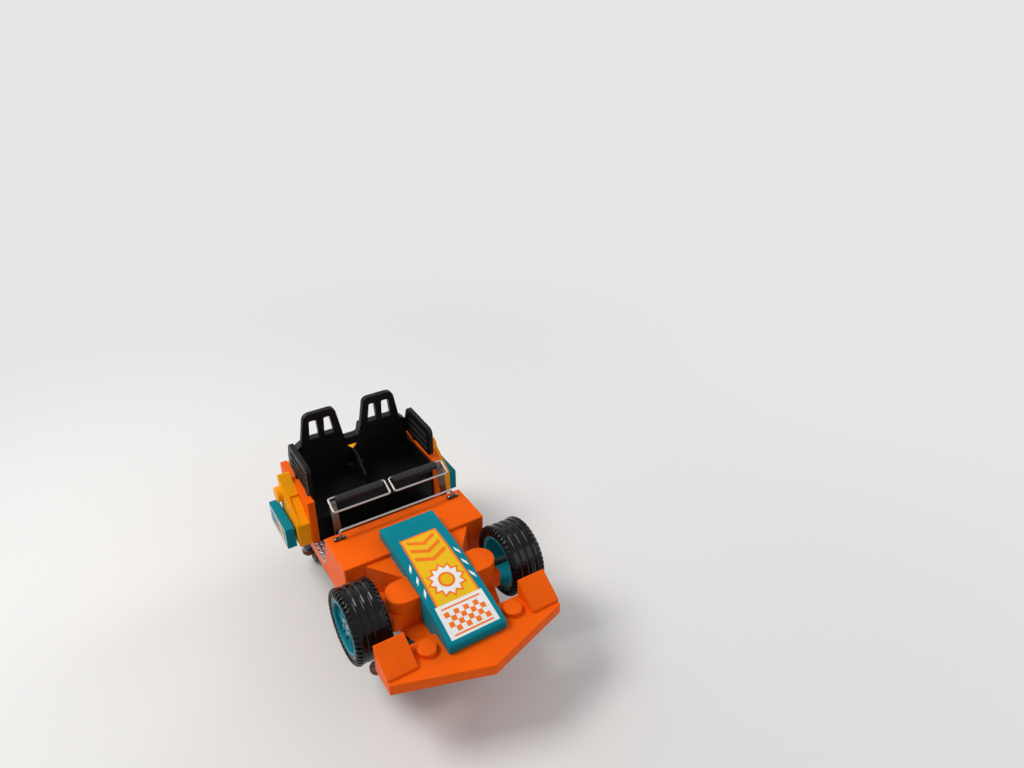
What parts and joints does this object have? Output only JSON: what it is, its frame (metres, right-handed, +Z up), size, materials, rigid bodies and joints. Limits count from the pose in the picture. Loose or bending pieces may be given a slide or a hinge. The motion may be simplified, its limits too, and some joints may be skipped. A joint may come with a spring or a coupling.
{
  "type": "roller coaster car",
  "caption": "Lead car of a small family roller coaster, styled as an open-wheel racer: side by side seats, two lap bars, show wheels and two steered bogies.",
  "frame": {"origin": "under the middle of the car's bounding box, at the foot of the upstop wheels", "axes": "-Y forward, +X the car's own left, +Z up"},
  "size_m": [1.556, 2.8599, 1.5],
  "materials": {
    "orange_body": "glossy moulded fibreglass",
    "teal_body": "glossy moulded fibreglass",
    "amber_body": "glossy moulded fibreglass",
    "black_shell": "satin moulded shell with a fine grain",
    "floor_coat": "gritty non-slip coat",
    "frame_paint": "satin",
    "bogie_paint": "satin",
    "tread_plate": "bright tread plate",
    "bright_tube": "polished stainless tube",
    "bar_steel": "satin grey",
    "bar_foam": "soft foam sleeve",
    "rim_paint": "satin",
    "show_tyre": "satin black",
    "wheel_tread": "cast polyurethane"
  },
  "bodies": {
    "car": {"chassis_frame": "frame_paint", "floor_pan": "floor_coat", "body_sides": "orange_body", "step_plates": "tread_plate", "cowl": "orange_body", "bulkhead": "black_shell", "nose": "teal_body", "front_wing": "orange_body", "wing_blocks": "orange_body", "suspension_pods": "orange_body", "stub_axles": "frame_paint", "grab_rail": "bright_tube", "side_liners": "black_shell", "side_pods": "amber_body", "outboard_boxes": "teal_body", "rear_deck": "amber_body", "seats": "black_shell", "head_hoops": "black_shell", "bolsters": "black_shell", "lap_bar_pivots": "frame_paint"},
    "left_bar": {"left_bar_arm": "bar_steel", "left_bar_frame": "bright_tube", "left_bar_pad": "bar_foam"},
    "right_bar": {"right_bar_arm": "bar_steel", "right_bar_frame": "bright_tube", "right_bar_pad": "bar_foam"},
    "left_show_wheel": {"left_rim": "rim_paint", "left_tyre": "show_tyre"},
    "right_show_wheel": {"right_rim": "rim_paint", "right_tyre": "show_tyre"},
    "front_bogie": {"front_bogie": "bogie_paint"},
    "rear_bogie": {"rear_bogie": "bogie_paint"},
    "run_wheel_fl": {"run_wheel_fl": "wheel_tread"},
    "run_wheel_fr": {"run_wheel_fr": "wheel_tread"},
    "run_wheel_rl": {"run_wheel_rl": "wheel_tread"},
    "run_wheel_rr": {"run_wheel_rr": "wheel_tread"},
    "guide_wheel_fl": {"guide_wheel_fl": "wheel_tread"},
    "guide_wheel_fr": {"guide_wheel_fr": "wheel_tread"},
    "guide_wheel_rl": {"guide_wheel_rl": "wheel_tread"},
    "guide_wheel_rr": {"guide_wheel_rr": "wheel_tread"},
    "stop_wheel_fl": {"stop_wheel_fl": "wheel_tread"},
    "stop_wheel_fr": {"stop_wheel_fr": "wheel_tread"},
    "stop_wheel_rl": {"stop_wheel_rl": "wheel_tread"},
    "stop_wheel_rr": {"stop_wheel_rr": "wheel_tread"}
  },
  "joints": [
    {"name": "left_bar_hinge", "type": "hinge", "parent": "car", "child": "left_bar", "pos_m": [0.46, 0.18, 0.65], "axis": [-1, 0, 0], "range_deg": [0, 48]},
    {"name": "right_bar_hinge", "type": "hinge", "parent": "car", "child": "right_bar", "pos_m": [-0.46, 0.18, 0.65], "axis": [-1, 0, 0], "range_deg": [0, 48]},
    {"name": "left_show_wheel_spin", "type": "hinge", "parent": "car", "child": "left_show_wheel", "pos_m": [0.62, -0.612, 0.74], "axis": [1, 0, 0], "continuous": true},
    {"name": "right_show_wheel_spin", "type": "hinge", "parent": "car", "child": "right_show_wheel", "pos_m": [-0.62, -0.612, 0.74], "axis": [1, 0, 0], "continuous": true},
    {"name": "front_bogie_steer", "type": "hinge", "parent": "car", "child": "front_bogie", "pos_m": [0, -0.57, 0.4], "axis": [0, 0, 1], "range_deg": [-8, 8]},
    {"name": "rear_bogie_steer", "type": "hinge", "parent": "car", "child": "rear_bogie", "pos_m": [0, 0.93, 0.4], "axis": [0, 0, 1], "range_deg": [-8, 8]},
    {"name": "run_wheel_fl_spin", "type": "hinge", "parent": "front_bogie", "child": "run_wheel_fl", "pos_m": [0.42, -0.57, 0.295], "axis": [1, 0, 0], "continuous": true},
    {"name": "run_wheel_fr_spin", "type": "hinge", "parent": "front_bogie", "child": "run_wheel_fr", "pos_m": [-0.42, -0.57, 0.295], "axis": [1, 0, 0], "continuous": true},
    {"name": "run_wheel_rl_spin", "type": "hinge", "parent": "rear_bogie", "child": "run_wheel_rl", "pos_m": [0.42, 0.93, 0.295], "axis": [1, 0, 0], "continuous": true},
    {"name": "run_wheel_rr_spin", "type": "hinge", "parent": "rear_bogie", "child": "run_wheel_rr", "pos_m": [-0.42, 0.93, 0.295], "axis": [1, 0, 0], "continuous": true},
    {"name": "guide_wheel_fl_spin", "type": "hinge", "parent": "front_bogie", "child": "guide_wheel_fl", "pos_m": [0.527, -0.57, 0.15], "axis": [0, 0, 1], "continuous": true},
    {"name": "guide_wheel_fr_spin", "type": "hinge", "parent": "front_bogie", "child": "guide_wheel_fr", "pos_m": [-0.527, -0.57, 0.15], "axis": [0, 0, 1], "continuous": true},
    {"name": "guide_wheel_rl_spin", "type": "hinge", "parent": "rear_bogie", "child": "guide_wheel_rl", "pos_m": [0.527, 0.93, 0.15], "axis": [0, 0, 1], "continuous": true},
    {"name": "guide_wheel_rr_spin", "type": "hinge", "parent": "rear_bogie", "child": "guide_wheel_rr", "pos_m": [-0.527, 0.93, 0.15], "axis": [0, 0, 1], "continuous": true},
    {"name": "stop_wheel_fl_spin", "type": "hinge", "parent": "front_bogie", "child": "stop_wheel_fl", "pos_m": [0.42, -0.57, 0.05], "axis": [1, 0, 0], "continuous": true},
    {"name": "stop_wheel_fr_spin", "type": "hinge", "parent": "front_bogie", "child": "stop_wheel_fr", "pos_m": [-0.42, -0.57, 0.05], "axis": [1, 0, 0], "continuous": true},
    {"name": "stop_wheel_rl_spin", "type": "hinge", "parent": "rear_bogie", "child": "stop_wheel_rl", "pos_m": [0.42, 0.93, 0.05], "axis": [1, 0, 0], "continuous": true},
    {"name": "stop_wheel_rr_spin", "type": "hinge", "parent": "rear_bogie", "child": "stop_wheel_rr", "pos_m": [-0.42, 0.93, 0.05], "axis": [1, 0, 0], "continuous": true}
  ]
}
